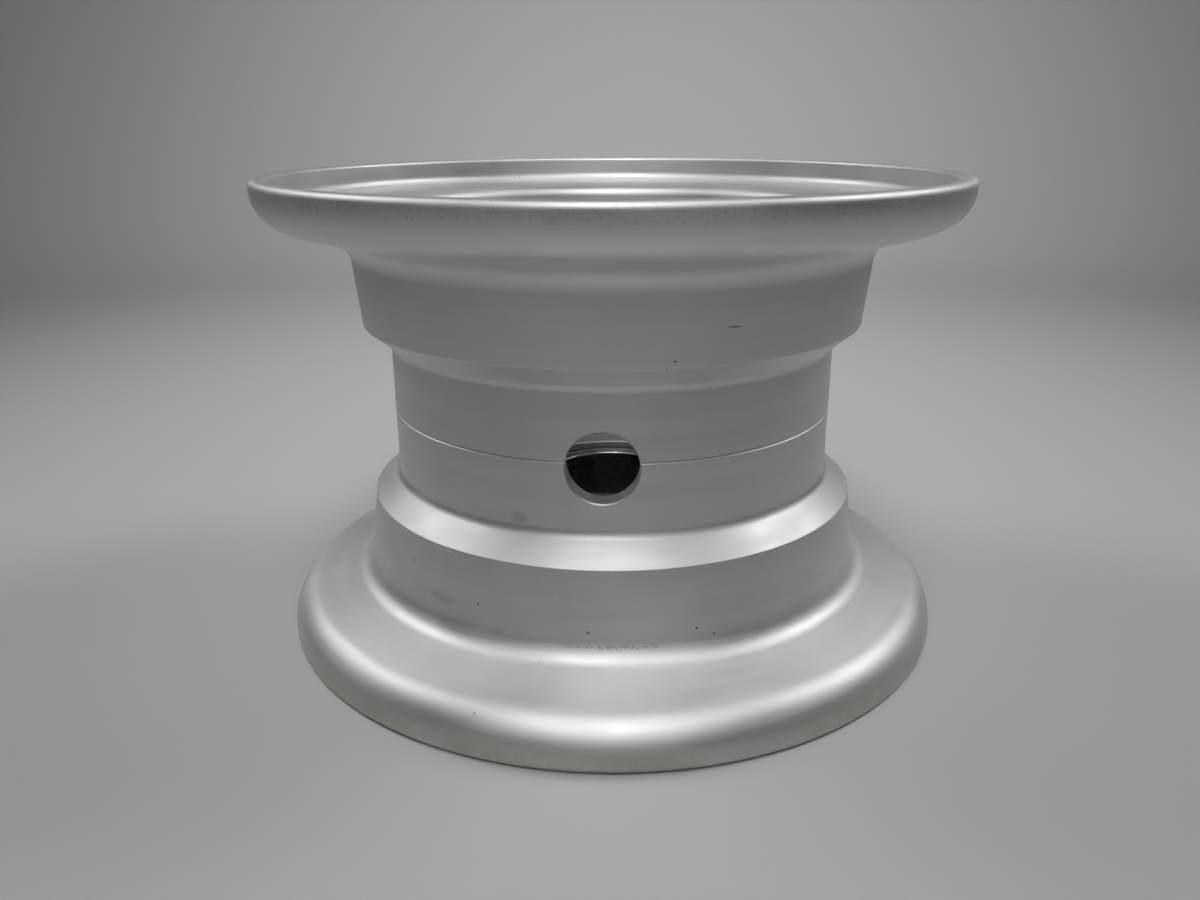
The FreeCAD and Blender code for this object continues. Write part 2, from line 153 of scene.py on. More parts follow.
def lathe_tree():
    """Sweeps the input outline, points (radius, 0, z) in order, round the Z axis."""
    tree, given, result = new_tree(
        "lathe", {"Segments": "NodeSocketInt", "Material": "NodeSocketMaterial"})
    size = node(tree, "GeometryNodeAttributeDomainSize", component="MESH")
    wire(tree, given.outputs["Geometry"], size.inputs[0])
    points = size.outputs["Point Count"]
    grid = node(tree, "GeometryNodeMeshGrid")
    grid.inputs["Size X"].default_value = 1.0
    grid.inputs["Size Y"].default_value = 1.0
    wire(tree, calc(tree, "ADD", given.outputs["Segments"], 1.0), grid.inputs["Vertices X"])
    wire(tree, calc(tree, "ADD", points, 1.0), grid.inputs["Vertices Y"])
    place = node(tree, "ShaderNodeSeparateXYZ")
    wire(tree, node(tree, "GeometryNodeInputPosition").outputs[0], place.inputs[0])
    turn = calc(tree, "MULTIPLY", calc(tree, "ADD", place.outputs["X"], 0.5), math.tau)
    row = calc(tree, "MULTIPLY", calc(tree, "ADD", place.outputs["Y"], 0.5), points)
    row = calc(tree, "FLOORED_MODULO", calc(tree, "ROUND", row, 0.0), points)
    read = node(tree, "GeometryNodeSampleIndex", data_type="FLOAT_VECTOR", domain="POINT")
    wire(tree, given.outputs["Geometry"], read.inputs["Geometry"])
    wire(tree, node(tree, "GeometryNodeInputPosition").outputs[0], read.inputs["Value"])
    wire(tree, row, read.inputs["Index"])
    rotate = node(tree, "ShaderNodeVectorRotate", rotation_type="Z_AXIS")
    wire(tree, read.outputs[0], rotate.inputs["Vector"])
    wire(tree, turn, rotate.inputs["Angle"])
    move = node(tree, "GeometryNodeSetPosition")
    wire(tree, grid.outputs["Mesh"], move.inputs["Geometry"])
    wire(tree, rotate.outputs[0], move.inputs["Position"])
    merge = node(tree, "GeometryNodeMergeByDistance")
    merge.inputs["Distance"].default_value = 0.002 * MM
    wire(tree, move.outputs[0], merge.inputs["Geometry"])
    real = node(tree, "GeometryNodeRealizeInstances")
    wire(tree, merge.outputs[0], real.inputs[0])
    paint = node(tree, "GeometryNodeSetMaterial")
    wire(tree, real.outputs[0], paint.inputs["Geometry"])
    wire(tree, given.outputs["Material"], paint.inputs["Material"])
    wire(tree, paint.outputs[0], result.inputs[0])
    return tree


LATHE = lathe_tree()
print(f"lathe tree: {len(LATHE.nodes)} nodes")

# %% [markdown]
# The outline itself is a list of corners, each with its rounding, just as on the drawing. An arc is
# laid in at each rounded corner. The finished mesh is taken off the modifier with new_from_object,
# because only a plain mesh leaves Blender with the part.


# %% Turning a piece
def rounded(corners, step_deg):
    """Points of an outline, with an arc at each (radius, z, round) corner that has a rounding."""
    points = []
    for i, (radius, z, rounding) in enumerate(corners):
        here = Vector((radius, z))
        if rounding <= 0:
            points.append(here)
            continue
        back = (Vector(corners[i - 1][:2]) - here).normalized()
        ahead = (Vector(corners[(i + 1) % len(corners)][:2]) - here).normalized()
        half = back.angle(ahead) / 2
        centre = here + (back + ahead).normalized() * rounding / math.sin(half)
        first = here + back * rounding / math.tan(half) - centre
        last = here + ahead * rounding / math.tan(half) - centre
        turn = -first.angle_signed(last)
        steps = max(2, math.ceil(abs(math.degrees(turn)) / step_deg))
        for k in range(steps + 1):
            points.append(centre + Matrix.Rotation(turn * k / steps, 2) @ first)
    return points


def tree_input(modifier, label, value):
    """Sets a geometry tree's input by its socket's identifier."""
    for item in modifier.node_group.interface.items_tree:
        if item.name == label and item.in_out == "INPUT":
            modifier[item.identifier] = value


def baked(obj):
    """Takes the result of an object's modifiers as its own plain mesh."""
    bpy.context.view_layer.update()
    depsgraph = bpy.context.evaluated_depsgraph_get()
    mesh = bpy.data.meshes.new_from_object(obj.evaluated_get(depsgraph))
    obj.modifiers.clear()
    obj.data = mesh
    mesh.name = obj.name
    return obj


def outward(obj):
    """Turns all faces of a closed piece outwards."""
    work = bmesh.new()
    work.from_mesh(obj.data)
    bmesh.ops.recalc_face_normals(work, faces=work.faces)
    work.to_mesh(obj.data)
    work.free()
    return obj


def new_object(name, mesh):
    """A new object in the scene."""
    obj = bpy.data.objects.new(name, mesh)
    bpy.context.scene.collection.objects.link(obj)
    return obj


def lathed(name, corners, material, segments, step_deg=8.0):
    """A turned piece from corners in millimetres, with z counted from the joint face."""
    points = [Vector((p.x, 0, p.y)) * MM for p in rounded(corners, step_deg)]
    outline = bpy.data.meshes.new(name)
    outline.from_pydata(points, [(i, (i + 1) % len(points)) for i in range(len(points))], [])
    obj = new_object(name, outline)
    lathe = obj.modifiers.new("lathe", "NODES")
    lathe.node_group = LATHE
    tree_input(lathe, "Segments", segments)
    tree_input(lathe, "Material", material)
    return outward(baked(obj))


def smooth(obj, sharp_deg=28.0):
    """Smooth shading that stops at real edges."""
    obj.data.shade_smooth()
    obj.data.set_sharp_from_angle(angle=math.radians(sharp_deg))
    return obj


def onto_side(obj, side):
    """Moves a piece drawn from the joint face to its place on the outboard or inboard side."""
    if side == "inboard":
        obj.data.transform(Matrix.Rotation(math.pi, 4, "Y"))
    obj.data.transform(Matrix.Translation((0, 0, JOINT_Z)))
    return obj


print("a turned piece is an outline, a lathe and a smooth shade")

# %% [markdown]
# ## The finishes
# A finish is a few patterns that drive the shader. Turned metal carries very fine rings, so its
# pattern is noise that changes fast along the outline and hardly at all round the axis. Reading it
# at (cos, sin) of the angle keeps it free of a seam.

# %% Pattern helpers


def ramp(tree, value, low, high, out_low=0.0, out_high=1.0):
    """Maps a value from one range to another, with soft ends."""
    made = node(tree, "ShaderNodeMapRange", interpolation_type="SMOOTHSTEP")
    wire(tree, value, made.inputs["Value"])
    for socket, number in zip(list(made.inputs)[1:5], (low, high, out_low, out_high)):
        socket.default_value = number
    return made.outputs["Result"]


def noise(tree, where, scale, detail=2.0, roughness=0.5):
    """Noise from 0 to 1 at a place."""
    made = node(tree, "ShaderNodeTexNoise")
    made.inputs["Scale"].default_value = scale
    made.inputs["Detail"].default_value = detail
    made.inputs["Roughness"].default_value = roughness
    wire(tree, where, made.inputs["Vector"])
    return made.outputs["Fac"]


def places(tree):
    """Object coordinates in millimetres, with the radius from the axis."""
    given = node(tree, "ShaderNodeTexCoord")
    scale = node(tree, "ShaderNodeVectorMath", operation="SCALE")
    wire(tree, given.outputs["Object"], scale.inputs[0])
    scale.inputs["Scale"].default_value = 1 / MM
    split = node(tree, "ShaderNodeSeparateXYZ")
    wire(tree, scale.outputs[0], split.inputs[0])
    x, y, z = split.outputs
    radius = calc(tree, "SQRT", calc(
        tree, "ADD", calc(tree, "MULTIPLY", x, x), calc(tree, "MULTIPLY", y, y)), 0.0)
    return {"point": scale.outputs[0], "x": x, "y": y, "z": z, "radius": radius}


def ring_place(tree, place, lengthways, around):
    """A place for noise that runs in rings: fast along the outline, slow round the axis."""
    joined = node(tree, "ShaderNodeCombineXYZ")
    along = calc(tree, "ADD", place["z"], calc(tree, "MULTIPLY", place["radius"], 0.7))
    values = (calc(tree, "MULTIPLY", calc(tree, "DIVIDE", place["x"], place["radius"]), around),
              calc(tree, "MULTIPLY", calc(tree, "DIVIDE", place["y"], place["radius"]), around),
              calc(tree, "MULTIPLY", along, lengthways))
    for socket, value in zip(joined.inputs, values):
        wire(tree, value, socket)
    return joined.outputs[0]


def mixed(tree, share, low, high):
    """A colour between two colours or outputs."""
    made = node(tree, "ShaderNodeMix", data_type="RGBA")
    wire(tree, share, made.inputs["Factor"])
    for socket, value in ((made.inputs[6], low), (made.inputs[7], high)):
        if isinstance(value, tuple):
            socket.default_value = (*value, 1.0)
        else:
            wire(tree, value, socket)
    return made.outputs[2]


def finish(name, metallic, base, roughness):
    """A material with its even values set on the shader itself."""
    made = bpy.data.materials.new(name)
    made.use_nodes = True
    shader = made.node_tree.nodes["Principled BSDF"]
    shader.inputs["Metallic"].default_value = metallic
    shader.inputs["Base Color"].default_value = (*base, 1.0)
    shader.inputs["Roughness"].default_value = roughness
    made.diffuse_color = (*base, 1.0)
    return made, made.node_tree, shader


def bump(tree, shader, height, depth_mm, previous=None):
    """Raises the surface by a pattern, in millimetres."""
    made = node(tree, "ShaderNodeBump")
    made.inputs["Strength"].default_value = 1.0
    made.inputs["Distance"].default_value = depth_mm * MM
    wire(tree, height, made.inputs["Height"])
    if previous is not None:
        wire(tree, previous, made.inputs["Normal"])
    wire(tree, made.outputs[0], shader.inputs["Normal"])
    return made.outputs[0]


print("pattern helpers ready")

# %% [markdown]
# The rim is bare aluminium alloy with a satin turned finish, handled and used. Wear is not spread
# evenly: tyre levers nick the lips and dirt settles in small pits. The foot of the lower flange
# gets painted shade, darker and browner towards the floor. A few marks stand where this wheel has
# them, each as a soft ellipsoid in object space, so it stays on the metal in every view. The rest
# comes from noise.

# %% Wear marks
DARK_MARKS = (                             # place and reach in millimetres
    ((-27.2, -56.4, 23.1), (0.36, 0.36, 0.32)), ((-2.8, -62.9, 20.2), (0.42, 0.5, 0.38)),
    ((20.4, -59.6, 20.0), (0.32, 0.4, 0.30)), ((24.2, -58.3, 18.2), (0.32, 0.4, 0.28)),
    ((-13.7, -60.6, 31.2), (0.40, 0.5, 0.26)), ((-9.0, -61.6, 28.5), (0.28, 0.4, 0.26)),
    ((30.7, -55.1, 18.2), (0.26, 0.3, 0.22)), ((14.5, -60.0, 78.6), (0.34, 0.4, 0.28)),
    ((13.0, -60.2, 77.0), (0.28, 0.4, 0.24)), ((10.6, -62.2, 17.2), (0.50, 0.6, 0.26)),
    ((26.2, -56.6, 84.9), (1.90, 1.6, 0.16)), ((-40.5, -72.2, 108.6), (0.9, 0.9, 0.4)),
    ((37.0, -74.6, 108.2), (0.6, 0.7, 0.4)))
BRIGHT_MARKS = (
    ((-33.8, -51.4, 33.3), (1.7, 1.4, 0.30)), ((26.8, -77.2, 102.3), (0.8, 0.8, 0.5)),
    ((3.6, -55.0, 48.3), (1.5, 0.8, 0.22)), ((2.2, -55.1, 47.6), (1.2, 0.8, 0.14)))
DASHED_LINE = (((3.5, -63.0, 17.1), (12.5, 2.5, 0.55)),)
SMUDGES = (((-18.2, -52.1, 42.1), (2.4, 2.4, 1.5)), ((-36.0, -51.0, 22.0), (5.0, 4.0, 1.6)))


def marks(tree, place, spots):
    """Coverage of the spots, from 0 to 1, with uneven edges."""
    stir = node(tree, "ShaderNodeTexNoise")
    stir.inputs["Scale"].default_value = 1.7
    wire(tree, place["point"], stir.inputs["Vector"])
    uneven = node(tree, "ShaderNodeVectorMath", operation="MULTIPLY_ADD")
    wire(tree, stir.outputs["Color"], uneven.inputs[0])
    uneven.inputs[1].default_value = (0.5, 0.5, 0.5)
    shifted = node(tree, "ShaderNodeVectorMath", operation="SUBTRACT")
    wire(tree, place["point"], shifted.inputs[0])
    shifted.inputs[1].default_value = (0.25, 0.25, 0.25)
    wire(tree, shifted.outputs[0], uneven.inputs[2])
    covered = None
    for centre, reach in spots:
        local = node(tree, "ShaderNodeMapping", vector_type="TEXTURE")
        wire(tree, uneven.outputs[0], local.inputs["Vector"])
        local.inputs["Location"].default_value = centre
        local.inputs["Scale"].default_value = reach
        away = node(tree, "ShaderNodeVectorMath", operation="LENGTH")
        wire(tree, local.outputs[0], away.inputs[0])
        inside = ramp(tree, away.outputs["Value"], 0.55, 1.05, 1, 0)
        covered = inside if covered is None else calc(tree, "MAXIMUM", covered, inside)
    return covered


def band(tree, value, low, high, soft):
    """1 between two values, fading to 0 over a soft edge at each end."""
    return calc(tree, "MULTIPLY", ramp(tree, value, low - soft, low + soft),
                ramp(tree, value, high - soft, high + soft, 1, 0))


print(f"{len(DARK_MARKS)} dark marks and {len(BRIGHT_MARKS)} bright ones")

# %% [markdown]
# The finish starts from the bare metal's clouded tone and lays the wear and painted shade over it
# in turn: the rubbed crest of the lips, the painted shade on the foot, the faint line and smudges,
# then the pits and the marks. The roughness follows the same patterns, and the pits and marks are
# sunk a little.

# %% Rim finish


def pits(tree, place):
    """Coverage of small dark pits, unevenly spread and sized."""
    spots = node(tree, "ShaderNodeTexVoronoi")
    spots.inputs["Scale"].default_value = 0.16
    wire(tree, place["point"], spots.inputs["Vector"])
    chance = node(tree, "ShaderNodeSeparateColor")
    wire(tree, spots.outputs["Color"], chance.inputs[0])
    reach = ramp(tree, chance.outputs[0], 0.80, 1.0, 0.0, 0.055)
    pit = ramp(tree, calc(tree, "SUBTRACT", spots.outputs["Distance"], reach), -0.02, 0.0, 1, 0)
    return calc(tree, "MULTIPLY", pit, ramp(tree, chance.outputs[0], 0.80, 0.82))


def wear(tree, place, cloud, fleck):
    """How much wear and painted shade lie at a place: rubbed, foot shade, grime, dark and bright."""
    from_joint = calc(tree, "ABSOLUTE", calc(tree, "SUBTRACT", place["z"], HALF_WIDTH), 0.0)
    outer = ramp(tree, place["radius"], FLANGE_RADIUS - 3.0, FLANGE_RADIUS - 1.0)
    crest = calc(tree, "MULTIPLY", outer,
                 band(tree, from_joint, HALF_WIDTH - 4.2, HALF_WIDTH - 0.8, 0.8))
    rubbed = calc(tree, "MULTIPLY", crest, ramp(tree, fleck, 0.52, 0.70))
    # painted shade: the foot of the lower flange turns darker and browner near the floor
    foot = calc(tree, "MULTIPLY", ramp(tree, place["radius"], FLANGE_RADIUS - 5, FLANGE_RADIUS),
                ramp(tree, place["z"], 2.5, 10.0, 1, 0))
    foot_shade = calc(tree, "MULTIPLY", foot, ramp(tree, cloud, 0.30, 0.62, 0.25, 0.75))
    line = calc(tree, "MULTIPLY", marks(tree, place, DASHED_LINE), ramp(tree, fleck, 0.47, 0.60))
    grime = calc(tree, "MAXIMUM", calc(tree, "MULTIPLY", line, 0.55),
                 calc(tree, "MULTIPLY", marks(tree, place, SMUDGES), 0.22))
    dark = calc(tree, "MAXIMUM", pits(tree, place), marks(tree, place, DARK_MARKS))
    return rubbed, foot_shade, grime, dark, marks(tree, place, BRIGHT_MARKS)


def rim_finish():
    """Satin turned aluminium with fine rings, uneven sheen, pits, wear and painted shade at the
    foot.
    """
    roughness = 0.52
    made, tree, shader = finish("turned_rim_alloy", 1.0, (0.71, 0.705, 0.69), roughness)
    place = places(tree)
    rings = noise(tree, ring_place(tree, place, 1.0, 1.2), 3.2, 3.0, 0.6)
    bands = noise(tree, ring_place(tree, place, 1.0, 2.0), 0.35, 3.0)
    cloud = noise(tree, place["point"], 0.045, 4.0, 0.6)
    fleck = noise(tree, place["point"], 1.5, 3.0, 0.6)
    rubbed, foot_shade, grime, dark, bright = wear(tree, place, cloud, fleck)

    tone = calc(tree, "ADD", calc(tree, "MULTIPLY", cloud, 0.6),
                calc(tree, "MULTIPLY", bands, 0.4))
    colour = mixed(tree, ramp(tree, tone, 0.35, 0.65), (0.675, 0.665, 0.645), (0.745, 0.74, 0.73))
    # the brown tone laid on the foot is painted shade near the floor
    for share, worn in ((calc(tree, "MULTIPLY", rubbed, 0.28), (0.36, 0.33, 0.29)),
                        (foot_shade, (0.50, 0.455, 0.42)), (grime, (0.22, 0.20, 0.17)),
                        (calc(tree, "MULTIPLY", dark, 0.85), (0.09, 0.075, 0.06)),
                        (bright, (0.90, 0.89, 0.87))):
        colour = mixed(tree, share, colour, worn)
    wire(tree, colour, shader.inputs["Base Color"])

    sheen = calc(tree, "ADD", ramp(tree, rings, 0.3, 0.7, -0.03, 0.03),
                 ramp(tree, cloud, 0.35, 0.65, -0.03, 0.035))
    sheen = calc(tree, "ADD", sheen, ramp(tree, bands, 0.3, 0.7, -0.02, 0.02))
    sheen = calc(tree, "ADD", sheen, calc(tree, "MULTIPLY", rubbed, 0.08))
    sheen = calc(tree, "SUBTRACT", sheen, calc(tree, "MULTIPLY", bright, 0.2))
    wire(tree, calc(tree, "ADD", sheen, roughness), shader.inputs["Roughness"])
    relief = bump(tree, shader, rings, 0.0035)
    whole = calc(tree, "SUBTRACT", 1.0, calc(tree, "MAXIMUM", dark, bright))
    bump(tree, shader, whole, 0.06, relief)
    return made


RIM_ALLOY = rim_finish()
print("finish:", RIM_ALLOY.name)

# %% [markdown]
# ## The rim halves
# Each half is machined from a casting: first turned, then the windows milled through its web and
# the bolt holes and valve hole drilled. The mesh is made in the same order, with Boolean modifiers
# as the mills and drills. The cutters are lofts, closed skins over a stack of loops.

# %% Cutters and carving


def lofted(name, loops):
    """A closed piece from a stack of loops with the same number of points, in millimetres."""
    count = len(loops[0])
    points = [Vector(p) * MM for loop in loops for p in loop]
    faces = [tuple(range(count)), tuple(range(len(points) - count, len(points)))]
    for k in range(len(loops) - 1):
        for i in range(count):
            j = (i + 1) % count
            faces.append((k * count + i, k * count + j, (k + 1) * count + j, (k + 1) * count + i))
    mesh = bpy.data.meshes.new(name)
    mesh.from_pydata(points, [], faces)
    return outward(new_object(name, mesh))


def circle(centre, radius, z, count=64):
    """One level loop."""
    return [(centre[0] + radius * math.cos(math.tau * i / count),
             centre[1] + radius * math.sin(math.tau * i / count), z) for i in range(count)]


def arc(centre, radius, start, end, steps):
    """Points of an arc from one angle to another, ends included."""
    return [(centre[0] + radius * math.cos(start + (end - start) * i / steps),
             centre[1] + radius * math.sin(start + (end - start) * i / steps))
            for i in range(steps + 1)]


def joined(name, pieces):
    """Puts several separate pieces in one object."""
    work = bmesh.new()
    for piece in pieces:
        work.from_mesh(piece.data)
        bpy.data.objects.remove(piece)
    mesh = bpy.data.meshes.new(name)
    work.to_mesh(mesh)
    work.free()
    return new_object(name, mesh)


def turned_copies(piece, count, first):
    """Evenly turned copies of a cutter about the wheel's axis, in one object."""
    copies = []
    for i in range(count):
        copy = new_object(piece.name, piece.data.copy())
        copy.data.transform(Matrix.Rotation(first + math.tau * i / count, 4, "Z"))
        copies.append(copy)
    bpy.data.objects.remove(piece)
    return joined(copies[0].name, copies)


def carve(piece, tool, operation="DIFFERENCE"):
    """Cuts a tool out of a piece, or joins it on, and throws the tool away."""
    cut = piece.modifiers.new("carve", "BOOLEAN")
    cut.operation, cut.solver, cut.object = operation, "EXACT", tool
    baked(piece)
    bpy.data.objects.remove(tool)
    return piece


print("cutters ready")

# %% [markdown]
# The rim's outline runs from the joint face over the drop well, the tapered bead seat and the
# flange to the lip, and back through the dish, the web and the hub.

# %% Rim outline


def ledge(z):
    """Radius of the tapered bead seat at a height."""
    return TOE_RADIUS + TAPER * (z - TOE_Z)


def rim_corners(side):
    """Corners (radius, z, round) of a rim half, with z outwards from the joint."""
    chamfer = JOINT_CHAMFER[side]
    joint = [(WELL_RADIUS - chamfer, 0, 0), (WELL_RADIUS, chamfer, 0)]
    if side == "inboard":
        joint = [(BARREL_RADIUS, -REGISTER_HEIGHT, REGISTER_BREAK),
                 (REGISTER_RADIUS, -REGISTER_HEIGHT, REGISTER_BREAK),
                 (REGISTER_RADIUS, 0, 0)] + joint
    else:
        joint = [(BARREL_RADIUS, 0, 0)] + joint
    turn_z = HEEL_Z + SLOPE * (FLANGE_RADIUS - ledge(HEEL_Z))
    tyre_side = [(WELL_RADIUS, WELL_HALF_WIDTH, WELL_ROOT), (TOE_RADIUS, TOE_Z, TOE_BREAK),
                 (ledge(HEEL_Z), HEEL_Z, HEEL_FILLET), (FLANGE_RADIUS, turn_z, FLANGE_TURN),
                 (FLANGE_RADIUS, HALF_WIDTH, LIP_ROUND)]
    lip, dish_z = FLANGE_RADIUS - LIP_WIDTH, HALF_WIDTH - DISH_DEPTH
    mouth_z = dish_z - DISH_FALL
    dish = [(lip, HALF_WIDTH, LIP_INNER_ROUND), (lip - LIP_DRAFT, dish_z, DISH_FILLET),
            (ledge(mouth_z) - WALL, mouth_z, DISH_FILLET),
            (ledge(WEB_OUTER) - WALL, WEB_OUTER, WEB_FILLET),
            (HUB_RADIUS, WEB_OUTER, WEB_FILLET), (HUB_RADIUS, HUB_END, HUB_CHAMFER),
            (CUP_RADIUS, HUB_END, HUB_CHAMFER)]
    groove, groove_end = CUP_RADIUS + GROOVE_DEPTH, SNAP_Z + SNAP_THICK + 0.05
    seat = [(CUP_RADIUS, groove_end, 0), (groove, groove_end, 0), (groove, SNAP_Z, 0),
            (CUP_RADIUS, SNAP_Z, 0), (CUP_RADIUS, CUP_BACK, 0),
            (SHOULDER_RADIUS, CUP_BACK, 0), (SHOULDER_RADIUS, NOSE_Z, 0.3)]
    run, rise = TOE_RADIUS - WELL_RADIUS, TOE_Z - WELL_HALF_WIDTH
    step_z = WELL_HALF_WIDTH + WALL * (math.hypot(run, rise) - rise) / run
    web_edge = ledge(WEB_INNER) - WALL
    edge_z = step_z + (web_edge - BARREL_RADIUS) * rise / run
    chamber = [(HUB_RADIUS - NOSE_STEP, NOSE_Z, NOSE_ROUND),
               (HUB_RADIUS, WEB_INNER, CHAMBER_FILLET), (web_edge, WEB_INNER, 0),
               (web_edge, edge_z, CHAMBER_FILLET), (BARREL_RADIUS, step_z, CHAMBER_FILLET)]
    return joint + tyre_side + dish + seat + chamber


print(f"rim outline: {len(rim_corners('inboard'))} corners")

# %% [markdown]
# The tools: a kidney-shaped mill for the windows, flared where it leaves each face to break the
# edge; a drill for the bolts; and the valve hole's drill, whose flare has to follow the curve of
# the barrel so that the broken edge is even all round. The bosses are joined on before drilling.

# %% Mills, drills and bosses


def window_mill():
    """The kidney-shaped mill for one window, drawn about +X, flared at both faces of the web."""
    inner = HUB_RADIUS + WINDOW_INSET
    reach = (ledge(WEB_INNER) - WALL - WINDOW_MARGIN - inner) / 2
    middle, sweep, edge = inner + reach, WINDOW_SWEEP, WINDOW_EDGE
    loops = []
    for z, wider in ((WEB_INNER - 2, edge + 2), (WEB_INNER + edge, 0), (WEB_OUTER - edge, 0),
                     (WEB_OUTER + 2, edge + 2)):
        end = [(middle * math.cos(side * sweep), middle * math.sin(side * sweep))
               for side in (-1, 1)]
        flat = arc((0, 0), middle + reach + wider, -sweep, sweep, 30)[1:]
        flat += arc(end[1], reach + wider, sweep, sweep + math.pi, 20)[1:]
        flat += arc((0, 0), middle - reach - wider, sweep, -sweep, 20)[1:]
        flat += arc(end[0], reach + wider, math.pi - sweep, math.tau - sweep, 20)[1:]
        loops.append([(x, y, z) for x, y in flat])
    return lofted("window_mill", loops)


def valve_drill(side):
    """The valve hole's drill, pointing at -Y, flared along the curve of the barrel."""
    drop = -VALVE_DROP if side == "outboard" else VALVE_DROP
    wider, reach, clear, count = VALVE_RADIUS + VALVE_CHAMFER, 12, 3, 96
    loops = [[], [], [], []]
    for i in range(count):
        angle = math.tau * i / count
        across, up = math.cos(angle), math.sin(angle)
        face = math.sqrt(WELL_RADIUS ** 2 - (VALVE_RADIUS * across) ** 2)
        edge = math.sqrt(WELL_RADIUS ** 2 - (wider * across) ** 2)
        for loop, radius, depth in ((0, VALVE_RADIUS, WELL_RADIUS - reach),
                                    (1, VALVE_RADIUS, face - VALVE_CHAMFER), (2, wider, edge),
                                    (3, wider + clear, edge + clear)):
            loops[loop].append((radius * across, -depth, radius * up + drop))
    return lofted("valve_drill", loops)


def boss():
    """One bolt boss with its rib to the barrel, and its spot-faced pad, drawn on +X."""
    rib = math.asin(BOSS_RIB / 2 / BOSS_RADIUS)
    flat = arc((BOLT_CIRCLE, 0), BOSS_RADIUS, rib, math.tau - rib, 48)
    reach = BARREL_RADIUS + WALL / 2
    flat += [(reach, -BOSS_RIB / 2), (reach, BOSS_RIB / 2)]
    post = lofted("post", [[(x, y, z) for x, y in flat] for z in (0, WEB_INNER + 1.5)])
    rows, broken = [(PAD_RADIUS + 1, WEB_OUTER - 3), (PAD_RADIUS + 1, WEB_OUTER)], 0.25
    rows += [(PAD_RADIUS + 1 - math.sin(math.radians(a)), WEB_OUTER + 1 - math.cos(math.radians(a)))
             for a in (22, 45, 68, 90)]
    rows += [(PAD_RADIUS, PAD_Z - broken), (PAD_RADIUS - broken, PAD_Z)]
    pad = lofted("pad", [circle((BOLT_CIRCLE, 0), radius, z) for radius, z in rows])
    return joined("boss", [post, pad])


def rim_half(side):
    """A finished rim half on its side of the joint."""
    half = lathed(f"{side}_rim", rim_corners(side), RIM_ALLOY, RIM_SEGMENTS, 7.0)
    carve(half, turned_copies(boss(), COUNT, FIRST_BOLT), "UNION")
    if side == "outboard":
        inner, outer, depth = BARREL_RADIUS - 0.05, REGISTER_RADIUS + 0.05, REGISTER_HEIGHT + 0.1
        carve(half, lathed("recess", [(inner, -1, 0), (outer, -1, 0), (outer, depth, 0),
                                      (inner, depth, 0)], None, RIM_SEGMENTS))
    hole = lofted("hole", [circle((BOLT_CIRCLE, 0), BOLT_RADIUS + BOLT_PLAY, z) for z in (-1, 40)])
    carve(half, turned_copies(hole, COUNT, FIRST_BOLT))
    carve(half, turned_copies(window_mill(), COUNT, FIRST_WINDOW))
    carve(half, valve_drill(side))
    half.data.materials.clear()
    half.data.materials.append(RIM_ALLOY)
    smooth(onto_side(half, side))
    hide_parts(f"{side}_rim_half")
    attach(half, "root")
    print(f"{side} rim: {len(half.data.polygons)} faces")
    return half


for side in SIDES:
    rim_half(side)

# %% [markdown]
# ## Steel parts
# The bearings, seals and bolts are steel, each with its own finish: ground races, pressed cages
# and rings, a phosphated snap ring and yellowish plated bolts. The felt is the one soft piece.

# %% Steel and felt finishes


def steel_finish(name, base, roughness, rings_mm, stain):
    """Steel with fine turning or grinding rings and faint stains."""
    made, tree, shader = finish(name, 1.0, base, roughness)
    place = places(tree)
    rings = noise(tree, ring_place(tree, place, 1.0 / rings_mm, 1.5), 1.0, 3.0, 0.6)
    cloud = noise(tree, place["point"], 0.25, 4.0, 0.6)
    uneven = calc(tree, "ADD", ramp(tree, rings, 0.3, 0.7, -0.05, 0.05),
                  ramp(tree, cloud, 0.3, 0.7, -0.05, 0.06))
    wire(tree, calc(tree, "ADD", uneven, roughness), shader.inputs["Roughness"])
    wire(tree, mixed(tree, ramp(tree, cloud, 0.5, 0.75), base, stain), shader.inputs["Base Color"])
    bump(tree, shader, rings, 0.003)
    return made


def felt_finish():
    """Grey-brown felt, matted and a little oily."""
    made, tree, shader = finish("oiled_felt", 0.0, (0.13, 0.115, 0.095), 0.9)
    place = places(tree)
    hair = noise(tree, place["point"], 3.0, 4.0, 0.7)
    patch = noise(tree, place["point"], 0.3, 2.0)
    tone = calc(tree, "ADD", calc(tree, "MULTIPLY", hair, 0.6),
                calc(tree, "MULTIPLY", patch, 0.4))
    colour = mixed(tree, ramp(tree, tone, 0.3, 0.7), (0.07, 0.06, 0.05), (0.20, 0.18, 0.15))
    wire(tree, colour, shader.inputs["Base Color"])
    shader.inputs["Sheen Weight"].default_value = 0.3
    bump(tree, shader, hair, 0.25)
    return made


GROUND = steel_finish("ground_steel", (0.52, 0.52, 0.53), 0.22, 0.25, (0.40, 0.37, 0.33))
PRESSED = steel_finish("pressed_steel", (0.38, 0.38, 0.385), 0.38, 0.6, (0.27, 0.25, 0.23))
SEAL_STEEL = steel_finish("seal_ring_steel", (0.45, 0.45, 0.45), 0.34, 0.4, (0.33, 0.31, 0.28))
SPRING = steel_finish("phosphated_spring_steel", (0.13, 0.13, 0.135), 0.45, 0.8, (0.09, 0.08, 0.07))
PLATED = steel_finish("plated_bolt_steel", (0.55, 0.49, 0.33), 0.32, 0.5, (0.42, 0.36, 0.24))
FELT = felt_finish()
print("steel and felt finishes ready")

# %% [markdown]
# The cones, seal rings and felts are turned pieces again. The cone is the one that shows: the edge
# of its bore is the bright arc behind the valve hole.

